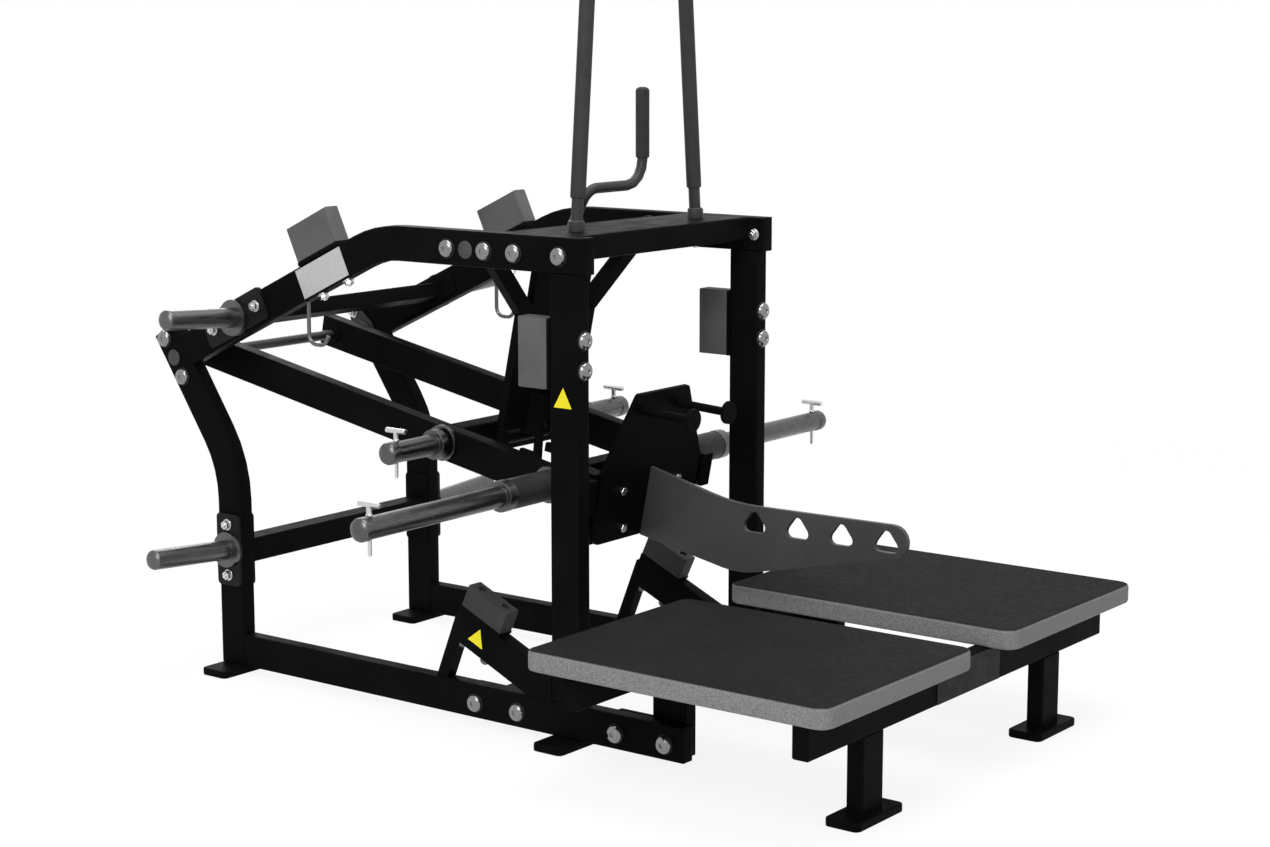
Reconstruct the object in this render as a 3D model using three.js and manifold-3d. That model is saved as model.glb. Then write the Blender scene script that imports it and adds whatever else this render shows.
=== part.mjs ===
// Plate-loaded belt squat machine.
// Millimetres, +Z up, +Y towards the rear, +X towards the right of a user who faces the machine.
// Depths are counted from a line near the front of the platforms, heights from the floor.
import * as THREE from 'three';
import { mergeVertices } from 'three/addons/utils/BufferGeometryUtils.js';
import Module from 'manifold-3d';

const wasm = await Module();
wasm.setup();

// Frame tube, flat-sided steel, used for the side frames, the lever and the platform beams
const tubeDepth = 80;
const tubeWidth = 40;
const tubeWall = 3;
const tubeEdge = 5;
const capThickness = 4;
const ventRadius = 6;
const bendRadius = 290;

// Clearances and overruns
const seatGap = 0.3;
const runningGap = 0.35;
const overrun = 30;
const cutterSize = 900;
const weldDepth = 1;

// Side frames
const frameSpread = 342.7;
const footHeight = 18.5;
const railFront = 510;
const frontUprightFront = 790;
const rearUprightFront = 1842;
const beamFront = 774;
const beamHeight = 1093.5;
const beamBendDepth = 1376;
const beamSlope = THREE.MathUtils.degToRad(25);
const uprightBendHeight = 518;
const uprightLean = THREE.MathUtils.degToRad(34);
const uprightLeanLength = 388;

// Feet
const footLength = 181;
const footDepth = 83;
const footCorner = 14;
const footEdge = 3;

// Top, rear and lower crossmembers
const endPlate = 8;
const topMemberFront = 815;
const topMemberDepth = 194;
const topMemberHeight = 54;
const topPlateHeight = 72;
const smallMemberSize = 60;
const rearMemberHeight = 302;
const rearPlateHeight = 180;
const rearPlateDepth = 70;
const rearPlateCentre = 307;
const upperMemberAlong = 486;
const upperMemberDepth = 50;
const upperMemberHeight = 38;
const upperPlateSpan = 200;
const upperPlateTall = 60;
const lowMemberDepth = 1030;
const lowMemberHeight = 58;
const lowPlateDepth = 191;
const lowPlateHeight = 74;
const memberCorner = 5;
const plateCorner = 10;

// Foot platforms and what carries them
const platformFront = -41;
const platformDepth = 747;
const platformInner = 82;
const platformWidth = 580;
const platformTop = 305;
const platformThickness = 45;
const platformCorner = 32;
const platformEdge = 7;
const platformBeamReach = 622;
const frontBeamFront = 21;
const legSpread = 383;
const legWidth = 80;
const rearBeamFront = 593;
const rearBeamInner = 110;
const postFront = 530;
const postDepth = 90;
const postPlateDepth = 187;

// Lower stops
const stopSlope = THREE.MathUtils.degToRad(24.5);
const stopDatumDepth = 1000;
const stopDatumHeight = 168;
const stopStart = 300;
const stopEnd = 168;
const stopPadLength = 124;
const stopPadHeight = 56;
const stopPadCentre = 103;
const stopSeat = 6;
const stopBoltSpacing = 74;
const stopBoltRadius = 9;
const stopBoltDepth = 12;
const braceWidth = 30;
const braceSlope = THREE.MathUtils.degToRad(111.5);
const braceLength = 165;
const braceFootDepth = 1198;

// Rubber blocks
const blockWidth = 46;
const blockEdge = 5;
const uprightSeat = 6;
const uprightBlockDepth = 82;
const uprightBlockHeight = 157;
const uprightBlockDrop = 177;
const beamSeat = 8;
const beamBlockLength = 140;
const beamBlockHeight = 86;
const beamBlockCentre = 184;

// Weight horns, their landing sleeves and the storage horns
const hornRadius = 24.3;
const hornBore = 20;
const hornDome = 12;
const hornCapRadius = 26;
const hornCapLength = 32;
const hornFlangeRadius = 42.5;
const hornFlangeLength = 12;
const collarRadius = 35.5;
const collarLength = 28;
const sleeveRadius = 34.5;
const sleeveLength = 142;
const sleeveEdge = 2;
const shortCollarStart = 21;
const shortCollarLength = 21;
const longHornLength = 636;
const shortHornLength = 204;
const upperStorageLength = 228;
const lowerStorageLength = 252;
const storageCollarRadius = 44;
const storageCollarLength = 10;
const storageTilt = THREE.MathUtils.degToRad(4);
const upperPlateLength = 220;
const upperPlateWidth = 80;
const lowerPlateLength = 179;
const lowerPlateWidth = 76;
const upperHornAlong = 507;
const upperHornRise = 7;
const lowerHornHeight = 309;

// T-handle pins through the weight horns
const pinInset = 40;
const pinRadius = 4.5;
const pinHoleGap = 0.9;
const pinTail = 36;
const pinTipLength = 4;
const pinStemRadius = 6;
const pinStemHeight = 20;
const pinCollarRadius = 7.5;
const pinCollarHeight = 5;
const pinBarRadius = 6;
const pinBarLength = 58;

// Belt hooks under the sloped beams
const hookRodRadius = 4.8;
const hookDepth = 1615.5;
const hookDrop = 100;
const hookRun = 50;
const hookTipLength = 26;
const hookTipRise = THREE.MathUtils.degToRad(62);
const hookBend = 22;

// Hand supports
const supportInset = 87;
const supportSpread = 226;
const supportTopSpread = 171;
const supportRise = 666.5;
const supportRadius = 13.5;
const socketRadius = 18.5;
const socketHeight = 24;
const socketEdge = 3;
const gripRadius = 17.5;
const gripRise = 71.5;
const gripEdge = 3;
const gripShoulder = 8;
const gripCrown = 7;
const gripWall = 4;

// Flange bearings and the shafts they carry
const bearingSpacing = 108;
const bearingRadius = 32;
const bearingEndRadius = 17;
const bearingFlange = 12;
const bearingBossRadius = 25;
const bearingBoss = 20;
const shaftRadius = 12.5;
const shaftEndGap = 2;

// Lever
const pivotAlong = 309.6;
const pivotInset = 8.3;
const leverDrop = THREE.MathUtils.degToRad(11.06);
const armSpread = 223;
const armTail = 48;
const armNose = 5;
const hubRadius = 22.5;
const hubLength = 12;
const longHornReach = 1117.5;
const shortHornReach = 792;
const hornRise = 4;
const catchInset = 47.5;
const catchRise = 6;
const catchBarRadius = 15;
const catchBarHalf = 75;
const catchLugWidth = 10;
const catchLugHeight = 28;
const catchLugNose = 10;
const catchLugCorner = 8;

// Front plate of the lever, its posts and belt pegs
const headLength = 99;
const facePlate = 10;
const faceTop = 226;
const faceShoulder = 47;
const faceBottom = 124;
const faceTopHalf = 98;
const faceHalf = 190;
const faceTopCorner = 12;
const faceBottomCorner = 28;
const headPostWidth = 40;
const headPostDepth = 60;
const pegSpread = 70;
const pegHeight = 185;
const pegRadius = 10;
const pegLength = 134;
const pegRise = THREE.MathUtils.degToRad(7.35);
const pegDiscRadius = 26.5;
const pegDiscThickness = 8;

// Nose plate, measured from the front plate
const noseThickness = 12;
const noseRootTop = 41;
const noseRootBottom = 126;
const noseWaistTop = 28;
const noseWaistTopReach = 238;
const noseWaistBottom = 127;
const noseWaistBottomReach = 284;
const noseTipRadius = 37.5;
const noseTipReach = 655;
const noseTipHeight = 74;
const noseTopBend = 500;
const noseBottomBend = 220;
const noseHoleCount = 4;
const noseHoleFirst = 301;
const noseHoleFirstHeight = 8;
const noseHolePitch = 114.7;
const noseHoleWidth = 85;
const noseHoleTall = 56.5;
const noseHoleCorner = 13;

// Lockout frame
const lockoutInset = 98;
const lockoutDrop = 2.5;
const lockoutTubeRadius = 30;
const lockoutTubeHalf = 285;
const lockoutLean = THREE.MathUtils.degToRad(12);
const panelThickness = 20;
const panelNeckHalf = 104;
const panelHalf = 140;
const panelNeckEnd = 150;
const panelShoulder = 175;
const panelBottom = 455;
const panelCorner = 14;
const strutThickness = 30;
const strutTop = 20;
const strutOuterDrop = 35;
const strutInner = 246;
const strutFootOuter = 135;
const strutFootOuterDrop = 179;
const strutFootInner = 100;
const strutFootInnerDrop = 160;

// Catch hooks of the lockout, in distances and angles about its pivot
const hookPlate = 12;
const hookSpread = 49;
const hookTopReach = 372;
const hookBodyReach = 470;
const hookSeatReach = 512;
const hookTongueReach = 534;
const hookFrontAngle = THREE.MathUtils.degToRad(5);
const hookShankAngle = THREE.MathUtils.degToRad(7.2);
const hookTongueAngle = THREE.MathUtils.degToRad(11.8);
const hookBodyAngle = THREE.MathUtils.degToRad(12.8);
const bridgeHalf = 58;
const bridgeBottom = 431;
const bridgeFront = 54;
const bridgeThickness = 10;

// Handle of the lockout
const handleRadius = 12.5;
const handleElbowInset = 60;
const handleElbowRise = 117;
const handleElbowBend = 32;
const handleSideBend = 62;
const handleSpread = 212;
const handleRise = 229;
const handleGripRadius = 16.5;
const handleGripRise = 62;

// Facets
const arcSteps = 4;
const rodFacets = 12;
const hornFacets = 20;
const shaftFacets = 32;

// Colours and finishes
const finishes = {
  frame: { color: 0x1c1c1e, roughness: 0.45, metalness: 0.3 },
  board: { color: 0x2a2a2b, roughness: 0.85, metalness: 0 },
  rubber: { color: 0x4b4b4c, roughness: 0.8, metalness: 0 },
  horn: { color: 0x63666b, roughness: 0.32, metalness: 0.9 },
  sleeve: { color: 0x3a3a3c, roughness: 0.6, metalness: 0.1 },
  steel: { color: 0xb9bcc0, roughness: 0.3, metalness: 0.95 },
  bearing: { color: 0x55575a, roughness: 0.5, metalness: 0.7 },
  plate: { color: 0x48494b, roughness: 0.5, metalness: 0.4 },
  grip: { color: 0x353536, roughness: 0.8, metalness: 0 },
};

// Places that follow from the sizes
const tubeHalf = tubeDepth / 2;
const frameInner = frameSpread - tubeWidth / 2;
const frameOuter = frameSpread + tubeWidth / 2;
const railTop = footHeight + tubeDepth;
const frontUprightDepth = frontUprightFront + tubeHalf;
const frontUprightRear = frontUprightFront + tubeDepth;
const rearUprightDepth = rearUprightFront + tubeHalf;
const beamTop = beamHeight + tubeHalf;
const lockoutDepth = topMemberFront + topMemberDepth + lockoutInset;
const beamUnderside = beamHeight - tubeHalf;
const armInner = armSpread - tubeWidth / 2;
const armOuter = armSpread + tubeWidth / 2;
const faceReach = longHornReach + headLength;
const armReach = faceReach + armNose;
const catchReach = shortHornReach + catchInset;
const supportDepth = topMemberFront + supportInset;
const supportTop = beamTop + supportRise;
const gripStart = beamTop + gripRise;
const uprightBlockCentre = beamUnderside - uprightBlockDrop;
const lockoutHeight = beamHeight - lockoutDrop;
const handleElbowDepth = lockoutDepth - handleElbowInset;
const handleElbowHeight = lockoutHeight + handleElbowRise;
const handleTop = handleElbowHeight + handleRise;
const handleGripStart = handleElbowHeight + handleGripRise;

const v2 = (depth, height) => new THREE.Vector2(depth, height);
const heading = (angle) => v2(Math.cos(angle), Math.sin(angle));
const leftOf = (direction) => v2(-direction.y, direction.x);
const walk = (from, direction, distance) => from.clone().addScaledVector(direction, distance);

const beamBend = v2(beamBendDepth, beamHeight);
const beamDown = heading(-beamSlope);
const beamUp = leftOf(beamDown);
const uprightBend = v2(rearUprightDepth, uprightBendHeight);
const uprightUp = v2(Math.sin(uprightLean), Math.cos(uprightLean));
const uprightTop = walk(uprightBend, uprightUp, uprightLeanLength);
const pivot = walk(walk(uprightBend, uprightUp, pivotAlong), leftOf(uprightUp), -pivotInset);
const leverForward = heading(Math.PI + leverDrop);
const leverUp = v2(leverForward.y, -leverForward.x);
const longHorn = walk(walk(pivot, leverForward, longHornReach), leverUp, hornRise);
const shortHorn = walk(walk(pivot, leverForward, shortHornReach), leverUp, hornRise);
const lockoutPivot = v2(lockoutDepth, lockoutHeight);
const rearReach = walk(uprightTop, leftOf(uprightUp), -tubeHalf).x;

// Solids from closed geometries
function solidOf(geometry) {
  const bare = geometry.clone();
  bare.deleteAttribute('normal');
  bare.deleteAttribute('uv');
  const merged = mergeVertices(bare);
  const source = merged.index.array;
  const triVerts = [];
  for (let i = 0; i < source.length; i += 3) {
    const [a, b, c] = source.slice(i, i + 3);
    if (a !== b && b !== c && c !== a) triVerts.push(a, b, c);
  }
  return new wasm.Manifold(new wasm.Mesh({
    numProp: 3,
    vertProperties: merged.attributes.position.array,
    triVerts: new Uint32Array(triVerts),
  }));
}

function geometryOf(solid) {
  const mesh = solid.getMesh();
  const geometry = new THREE.BufferGeometry();
  geometry.setAttribute('position', new THREE.BufferAttribute(mesh.vertProperties, mesh.numProp));
  geometry.setIndex(new THREE.BufferAttribute(mesh.triVerts, 1));
  geometry.computeVertexNormals();
  return geometry;
}

const joined = (...solids) => solids.reduce((whole, next) => whole.add(next));
const without = (whole, ...cutters) => cutters.reduce((rest, next) => rest.subtract(next), whole);

// Points of the arc that rounds a corner, or of its parallel curve on the left
function cornerArc(before, corner, after, radius, offset = 0) {
  const into = corner.clone().sub(before).normalize();
  const out = after.clone().sub(corner).normalize();
  const turn = Math.atan2(into.cross(out), into.dot(out));
  const hand = Math.sign(turn) || 1;
  const start = walk(corner, into, -radius * Math.tan(Math.abs(turn) / 2));
  const centre = walk(start, leftOf(into), radius * hand);
  const points = [];
  for (let i = 0; i <= arcSteps; i += 1) {
    const side = leftOf(into).rotateAround(v2(0, 0), (turn * i) / arcSteps);
    points.push(walk(centre, side, offset - radius * hand));
  }
  return points;
}

function rounded(corners, radii) {
  const count = corners.length;
  return corners.flatMap((corner, i) => {
    const radius = Array.isArray(radii) ? radii[i] : radii;
    if (!radius) return [corner];
    return cornerArc(corners[(i + count - 1) % count], corner, corners[(i + 1) % count], radius);
  });
}

const rectangle = (x0, y0, x1, y1) => [v2(x0, y0), v2(x1, y0), v2(x1, y1), v2(x0, y1)];
const centredRectangle = (width, height) => rectangle(-width / 2, -height / 2, width / 2, height / 2);

// Slab of an outline, its thickness centred on the plane of the outline
function slab(outline, thickness, edge = 0, edgeSteps = 2) {
  const geometry = new THREE.ExtrudeGeometry(new THREE.Shape(outline), {
    depth: thickness - 2 * edge,
    bevelEnabled: edge > 0,
    bevelThickness: edge,
    bevelSize: edge,
    bevelOffset: -edge,
    bevelSegments: edgeSteps,
  });
  return geometry.translate(0, 0, edge - thickness / 2);
}

const basis = (x, y, z) => new THREE.Matrix4().makeBasis(
  new THREE.Vector3(...x),
  new THREE.Vector3(...y),
  new THREE.Vector3(...z),
);
const sideways = basis([0, 1, 0], [0, 0, 1], [1, 0, 0]);
const upright = basis([1, 0, 0], [0, 0, 1], [0, -1, 0]);

// Outline in depth and height, thickness across
const acrossSolid = (outline, thickness, edge) => solidOf(slab(outline, thickness, edge).applyMatrix4(sideways));
// Outline in width and height, thickness in depth
const facingSolid = (outline, thickness, edge) => solidOf(slab(outline, thickness, edge).applyMatrix4(upright));
// Outline in width and depth, thickness in height
const levelSolid = (outline, thickness, edge) => solidOf(slab(outline, thickness, edge));

function block(size, centre) {
  return solidOf(new THREE.BoxGeometry(...size).translate(...centre));
}

// Round bar between two points
function rod(from, to, radius, facets = rodFacets) {
  const start = new THREE.Vector3(...from);
  const along = new THREE.Vector3(...to).sub(start);
  const length = along.length();
  const geometry = new THREE.CylinderGeometry(radius, radius, length, facets).translate(0, length / 2, 0);
  const turn = new THREE.Quaternion().setFromUnitVectors(new THREE.Vector3(0, 1, 0), along.normalize());
  return solidOf(geometry.applyQuaternion(turn).translate(...from));
}

// Radius of a faceted hole whose flats clear a round piece
const boreFor = (radius, facets) => (radius + runningGap) / Math.cos(Math.PI / facets);

// Turned piece, its profile in radius and length, along +Y before it is placed
function turned(profile, facets = hornFacets) {
  return new THREE.LatheGeometry(profile.map(([radius, length]) => v2(radius, length)), facets);
}

// Path with rounded corners, whose rings lie only where it bends and at its ends
class RodPath extends THREE.Curve {
  constructor(corners, bends) {
    super();
    const points = corners.map((corner) => new THREE.Vector3(...corner));
    this.rings = [{ point: points[0], tangent: points[1].clone().sub(points[0]).normalize() }];
    for (let i = 1; i < points.length - 1; i += 1) {
      const into = points[i].clone().sub(points[i - 1]).normalize();
      const out = points[i + 1].clone().sub(points[i]).normalize();
      const turn = into.angleTo(out);
      const radius = bends[i - 1];
      const axis = into.clone().cross(out).normalize();
      const start = points[i].clone().addScaledVector(into, -radius * Math.tan(turn / 2));
      const centre = start.clone().addScaledVector(axis.clone().cross(into), radius);
      for (let k = 0; k <= arcSteps; k += 1) {
        const angle = (turn * k) / arcSteps;
        this.rings.push({
          point: start.clone().sub(centre).applyAxisAngle(axis, angle).add(centre),
          tangent: into.clone().applyAxisAngle(axis, angle),
        });
      }
    }
    const last = points.length - 1;
    this.rings.push({ point: points[last], tangent: points[last].clone().sub(points[last - 1]).normalize() });
  }

  ringAt(u) {
    return this.rings[Math.round(u * (this.rings.length - 1))];
  }

  getPoint(u) {
    return this.ringAt(u).point.clone();
  }

  getPointAt(u) {
    return this.getPoint(u);
  }

  getTangentAt(u) {
    return this.ringAt(u).tangent.clone();
  }
}

function bentRod(corners, radius, bends, facets = rodFacets) {
  const path = new RodPath(corners, bends);
  const section = new THREE.Shape();
  section.absarc(0, 0, radius, 0, 2 * Math.PI);
  return solidOf(new THREE.ExtrudeGeometry(section, {
    steps: path.rings.length - 1,
    curveSegments: facets,
    extrudePath: path,
  }));
}

// Outline of a tube bent in the side plane, from the corners of its centre line
function tubeOutline(corners, half, endFace) {
  const edge = (offset) => {
    const first = corners[1].clone().sub(corners[0]).normalize();
    const points = [walk(corners[0], leftOf(first), offset)];
    for (let i = 1; i < corners.length - 1; i += 1) {
      points.push(...cornerArc(corners[i - 1], corners[i], corners[i + 1], bendRadius, offset));
    }
    const last = corners[corners.length - 1];
    const heads = last.clone().sub(corners[corners.length - 2]).normalize();
    const end = walk(last, leftOf(heads), offset);
    if (endFace) {
      const toFace = endFace.point.clone().sub(end).dot(endFace.normal) / heads.dot(endFace.normal);
      points.push(walk(end, heads, toFace));
    } else {
      points.push(end);
    }
    return points;
  };
  return [...edge(-half), ...edge(half).reverse()];
}

// Hollow frame tube; an end that nothing covers gets a cap of the tube's own
function sideTube(corners, { startCap = false, endCap = false, endFace = null } = {}) {
  const outer = acrossSolid(tubeOutline(corners, tubeHalf, endFace), tubeWidth, tubeEdge);
  const first = corners[0].clone().sub(corners[1]).normalize();
  const count = corners.length;
  const last = corners[count - 1].clone().sub(corners[count - 2]).normalize();
  const bore = [
    walk(corners[0], first, startCap ? -capThickness : overrun),
    ...corners.slice(1, -1),
    walk(corners[count - 1], last, endCap ? -capThickness : overrun),
  ];
  return without(outer, acrossSolid(tubeOutline(bore, tubeHalf - tubeWall), tubeWidth - 2 * tubeWall, 0));
}

// Straight hollow tube across the machine, open at both ends
function crossTube(length, depth, height) {
  const ring = new THREE.Shape(rounded(centredRectangle(depth, height), memberCorner));
  ring.holes.push(new THREE.Path(centredRectangle(depth - 2 * tubeWall, height - 2 * tubeWall)));
  const geometry = new THREE.ExtrudeGeometry(ring, { depth: length, bevelEnabled: false });
  return solidOf(geometry.translate(0, 0, -length / 2).applyMatrix4(sideways));
}

// Machine, its origin on the floor under the middle of its depth
const machine = new THREE.Group();
machine.position.y = -(platformFront + rearReach) / 2;
const sides = [['left', -1], ['right', 1]];

function addPiece(name, solid, finish, place = [0, 0, 0]) {
  const mesh = new THREE.Mesh(geometryOf(solid), new THREE.MeshStandardMaterial(finishes[finish]));
  mesh.name = name;
  mesh.position.set(...place);
  machine.add(mesh);
}

function addPair(name, build, finish, spread = 0) {
  for (const [label, side] of sides) addPiece(`${label}_${name}`, build(side), finish, [side * spread, 0, 0]);
}

// Turns a shape about the crosswise axis through a point, from lying level to its slope
const tilted = (geometry, angle, point) => geometry.rotateX(angle).translate(0, point.x, point.y);

// Base rails and uprights, each with the foot it stands on where it has one, and the top beams
function footAt(depth) {
  const foot = levelSolid(rounded(centredRectangle(footLength, footDepth), footCorner), footHeight, footEdge);
  return foot.translate([0, depth, footHeight / 2]);
}

function baseRail() {
  const height = footHeight + tubeHalf;
  const tube = sideTube([v2(railFront, height), v2(rearUprightFront, height)], { startCap: true });
  return joined(tube, footAt(frontUprightDepth));
}

function frontUpright() {
  const tube = sideTube([v2(frontUprightDepth, railTop), v2(frontUprightDepth, beamUnderside)]);
  const seat = acrossSolid(centredRectangle(uprightSeat + weldDepth, uprightBlockHeight), blockWidth);
  const centre = frontUprightRear + (uprightSeat - weldDepth) / 2;
  return joined(tube, seat.translate([0, centre, uprightBlockCentre]));
}

function rearUpright() {
  const tube = sideTube([v2(rearUprightDepth, footHeight), uprightBend, uprightTop], { endCap: true });
  const vent = rod([0, rearUprightDepth, -overrun], [0, rearUprightDepth, overrun], ventRadius);
  return without(joined(tube, footAt(rearUprightDepth)), vent);
}

function topBeam() {
  const faceNormal = leftOf(uprightUp);
  const face = walk(uprightBend, faceNormal, tubeHalf + seatGap);
  const run = face.clone().sub(beamBend).dot(faceNormal) / beamDown.dot(faceNormal);
  const tube = sideTube(
    [v2(beamFront, beamHeight), beamBend, walk(beamBend, beamDown, run)],
    { startCap: true, endFace: { point: face, normal: faceNormal } },
  );
  const thickness = beamSeat + weldDepth;
  const seat = slab(centredRectangle(beamBlockLength, thickness), blockWidth).applyMatrix4(sideways);
  const centre = walk(walk(beamBend, beamDown, beamBlockCentre), beamUp, tubeHalf - weldDepth + thickness / 2);
  return joined(tube, solidOf(tilted(seat, -beamSlope, centre)));
}

addPair('base_rail', baseRail, 'frame', frameSpread);
addPair('front_upright', frontUpright, 'frame', frameSpread);
addPair('rear_upright', rearUpright, 'frame', frameSpread);
addPair('top_beam', topBeam, 'frame', frameSpread);

// Crossmembers between the side frames, with an end plate on each frame
function crossmember(tubeSize, tubePlace, plateSize, platePlace, slope = [0, 0, 0]) {
  const outline = rounded(centredRectangle(...plateSize), plateCorner);
  const plates = sides.map(([, side]) => {
    const inset = side * (frameInner - endPlate / 2);
    const plate = acrossSolid(outline, endPlate).rotate(slope).translate([inset, ...platePlace]);
    const mouth = side * (frameInner + overrun);
    return without(plate, rod([0, ...tubePlace], [mouth, ...tubePlace], ventRadius));
  });
  const length = 2 * (frameInner - endPlate + weldDepth);
  const tube = crossTube(length, ...tubeSize).rotate(slope).translate([0, ...tubePlace]);
  return joined(tube, ...plates);
}

const topMemberCentre = topMemberFront + topMemberDepth / 2;
addPiece('top_crossmember', crossmember(
  [topMemberDepth, topMemberHeight],
  [topMemberCentre, beamTop - topMemberHeight / 2],
  [topMemberDepth, topPlateHeight],
  [topMemberCentre, beamTop - topPlateHeight / 2],
), 'frame');
addPiece('rear_crossmember', crossmember(
  [smallMemberSize, smallMemberSize],
  [rearUprightDepth, rearMemberHeight],
  [rearPlateDepth, rearPlateHeight],
  [rearUprightDepth, rearPlateCentre],
), 'frame');
const upperMember = walk(beamBend, beamDown, upperMemberAlong);
const upperPlate = walk(beamBend, beamDown, upperHornAlong);
addPiece('upper_crossmember', crossmember(
  [upperMemberDepth, upperMemberHeight],
  [upperMember.x, upperMember.y],
  [upperPlateSpan, upperPlateTall],
  [upperPlate.x, upperPlate.y],
  [-THREE.MathUtils.radToDeg(beamSlope), 0, 0],
), 'frame');
addPiece('lower_crossmember', crossmember(
  [smallMemberSize, smallMemberSize],
  [lowMemberDepth, lowMemberHeight],
  [lowPlateDepth, lowPlateHeight],
  [lowMemberDepth, lowMemberHeight],
), 'frame');

// Platforms, the beams under them, the front legs and the rear posts
const platformBottom = platformTop - platformThickness;
const platformBeamHeight = platformBottom - tubeHalf;
const platformBeamBottom = platformBottom - tubeDepth;
const tubeSection = rounded(centredRectangle(tubeWidth, tubeDepth), memberCorner);
const tubeBore = centredRectangle(tubeWidth - 2 * tubeWall, tubeDepth - 2 * tubeWall);

function platform() {
  const outline = rounded(centredRectangle(platformWidth, platformDepth), platformCorner);
  const board = levelSolid(outline, platformThickness, platformEdge);
  return board.translate([0, platformFront + platformDepth / 2, platformTop - platformThickness / 2]);
}

function frontPlatformBeam() {
  const length = 2 * platformBeamReach;
  const bore = acrossSolid(tubeBore, length - 2 * capThickness);
  const vent = rod([0, 0, 0], [0, 0, -tubeDepth], ventRadius);
  const beam = without(acrossSolid(tubeSection, length), bore, vent);
  return beam.translate([0, frontBeamFront + tubeWidth / 2, platformBeamHeight]);
}

function platformLeg() {
  const height = platformBeamBottom - footHeight;
  const centre = footHeight + height / 2;
  const leg = levelSolid(rounded(centredRectangle(legWidth, tubeWidth), memberCorner), height);
  const bore = levelSolid(centredRectangle(legWidth - 2 * tubeWall, tubeWidth - 2 * tubeWall), height);
  const depth = frontBeamFront + tubeWidth / 2;
  return joined(without(leg, bore).translate([0, depth, centre]), footAt(depth));
}

function frontPlatformFrame() {
  const depth = frontBeamFront + tubeWidth / 2;
  const legs = sides.map(([, side]) => platformLeg().translate([side * legSpread, 0, 0]));
  const vents = sides.map(([, side]) => rod(
    [side * legSpread, depth, platformBeamBottom - overrun],
    [side * legSpread, depth, platformBeamHeight],
    ventRadius,
  ));
  return without(joined(frontPlatformBeam(), ...legs), ...vents);
}

function rearPlatformSupport(side) {
  const length = platformBeamReach - rearBeamInner;
  const centre = [side * (rearBeamInner + length / 2), rearBeamFront + tubeWidth / 2, platformBeamHeight];
  const beam = acrossSolid(tubeSection, length).translate(centre);
  const beamBore = acrossSolid(tubeBore, length - 2 * capThickness).translate(centre);
  const postHeight = platformBottom - footHeight;
  const postPlace = [side * (frameInner - tubeWidth / 2), postFront + postDepth / 2, footHeight + postHeight / 2];
  const post = levelSolid(rounded(centredRectangle(tubeWidth, postDepth), memberCorner), postHeight);
  const postBore = levelSolid(centredRectangle(tubeWidth - 2 * tubeWall, postDepth - 2 * tubeWall), postHeight);
  const outline = rounded(centredRectangle(postPlateDepth, tubeDepth), plateCorner);
  const plate = acrossSolid(outline, endPlate).translate([
    side * (frameInner - endPlate / 2),
    postFront + postPlateDepth / 2,
    footHeight + tubeHalf,
  ]);
  const [across, depth, height] = postPlace;
  return without(
    joined(beam, post.translate(postPlace), plate),
    beamBore,
    postBore.translate([across, depth, height - capThickness]),
  );
}

addPair('platform', platform, 'board', platformInner + platformWidth / 2);
addPiece('front_platform_frame', frontPlatformFrame(), 'frame');
addPair('rear_platform_support', rearPlatformSupport, 'frame');

// Lower stops on the rails: an inclined tube with its brace, and a rubber pad with sunk bolts
const stopDatum = v2(stopDatumDepth, stopDatumHeight);
const stopAlong = heading(stopSlope);
const stopUp = leftOf(stopAlong);
const stopPlace = (along, up) => walk(walk(stopDatum, stopAlong, along), stopUp, up);

function stopFrame() {
  const tube = sideTube([stopPlace(-stopStart, 0), stopPlace(stopEnd, 0)], { endCap: true });
  const brace = slab(centredRectangle(2 * braceLength, braceWidth), braceWidth).applyMatrix4(sideways);
  const strut = solidOf(tilted(brace, braceSlope, v2(braceFootDepth, railTop)));
  const thickness = stopSeat + weldDepth;
  const seat = slab(centredRectangle(stopPadLength, thickness), blockWidth).applyMatrix4(sideways);
  const seatPlace = stopPlace(stopPadCentre, tubeHalf - weldDepth + thickness / 2);
  const cutter = [cutterSize, cutterSize, cutterSize];
  const under = block(cutter, [0, stopDatumDepth, railTop - cutterSize / 2]);
  const front = block(cutter, [0, frontUprightRear - cutterSize / 2, railTop]);
  return without(joined(tube, strut, solidOf(tilted(seat, stopSlope, seatPlace))), under, front);
}

function stopPad() {
  const pad = slab(centredRectangle(stopPadLength, stopPadHeight), blockWidth, blockEdge).applyMatrix4(sideways);
  const top = stopPadHeight / 2;
  const sinks = sides.map(([, end]) => {
    const along = (end * stopBoltSpacing) / 2;
    return rod([0, along, top - stopBoltDepth], [0, along, top + overrun], stopBoltRadius);
  });
  const solid = without(solidOf(pad), ...sinks);
  const place = stopPlace(stopPadCentre, tubeHalf + stopSeat + seatGap + top);
  return solidOf(tilted(geometryOf(solid), stopSlope, place));
}

addPair('stop_frame', stopFrame, 'frame', frameSpread);
addPair('stop_pad', stopPad, 'rubber', frameSpread);

// Rubber blocks behind the front uprights and on the sloped beams
function uprightBlock() {
  const centre = frontUprightRear + uprightSeat + uprightBlockDepth / 2;
  const outline = centredRectangle(uprightBlockDepth, uprightBlockHeight);
  return acrossSolid(outline, blockWidth, blockEdge).translate([0, centre, uprightBlockCentre]);
}

function beamBlock() {
  const outline = centredRectangle(beamBlockLength, beamBlockHeight);
  const body = slab(outline, blockWidth, blockEdge).applyMatrix4(sideways);
  const rise = tubeHalf + beamSeat + seatGap + beamBlockHeight / 2;
  return solidOf(tilted(body, -beamSlope, walk(walk(beamBend, beamDown, beamBlockCentre), beamUp, rise)));
}

addPair('upright_block', uprightBlock, 'rubber', frameSpread);
addPair('beam_block', beamBlock, 'rubber', frameSpread);

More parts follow.
